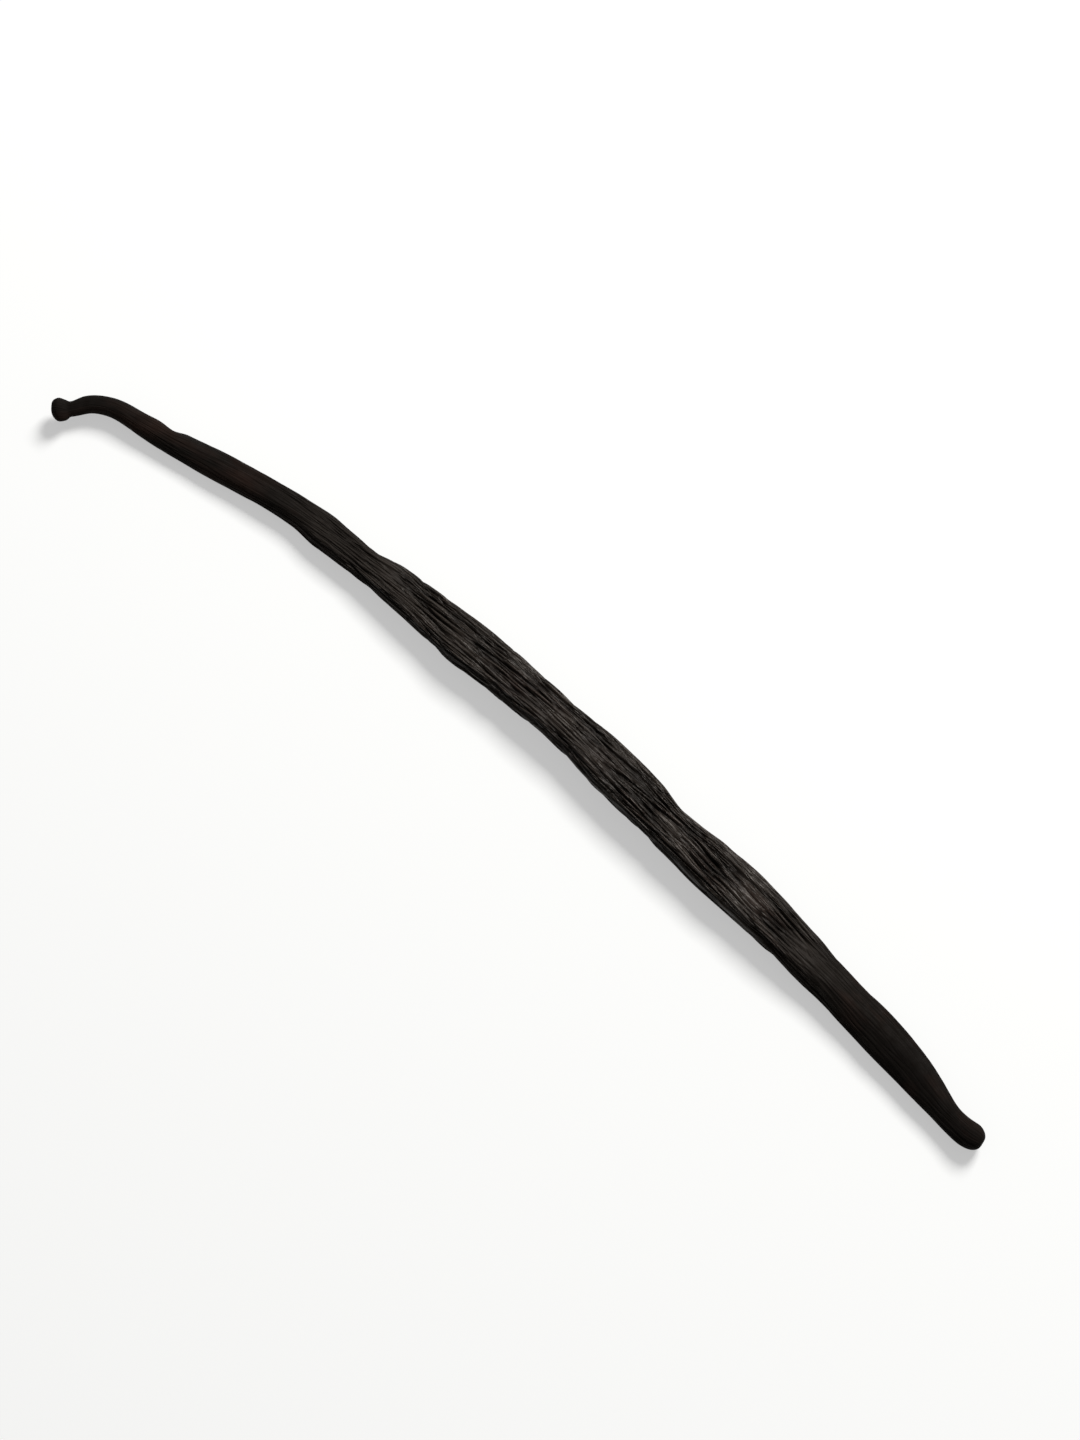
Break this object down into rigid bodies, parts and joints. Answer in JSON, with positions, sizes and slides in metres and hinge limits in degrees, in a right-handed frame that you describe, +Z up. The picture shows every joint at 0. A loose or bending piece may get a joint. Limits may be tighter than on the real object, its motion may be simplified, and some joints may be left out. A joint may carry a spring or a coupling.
{
  "type": "cured vanilla pod",
  "caption": "Long thin cured vanilla pod lying on its broad side, with a hooked stem end, a small flared knob, lengthwise folds and a blunt blossom end.",
  "frame": {"origin": "under the middle of the pod's bounding box, on the surface that it rests on", "axes": "+X along the pod from its stem end to its blossom end, +Y to the side that its middle bows towards, +Z up"},
  "size_m": [0.1754, 0.0164, 0.0047],
  "materials": {
    "pod_skin": "oily, wrinkled, nearly black brown skin with a soft waxy gloss"
  },
  "bodies": {
    "root": {"vanilla_pod": "pod_skin"}
  },
  "joints": []
}
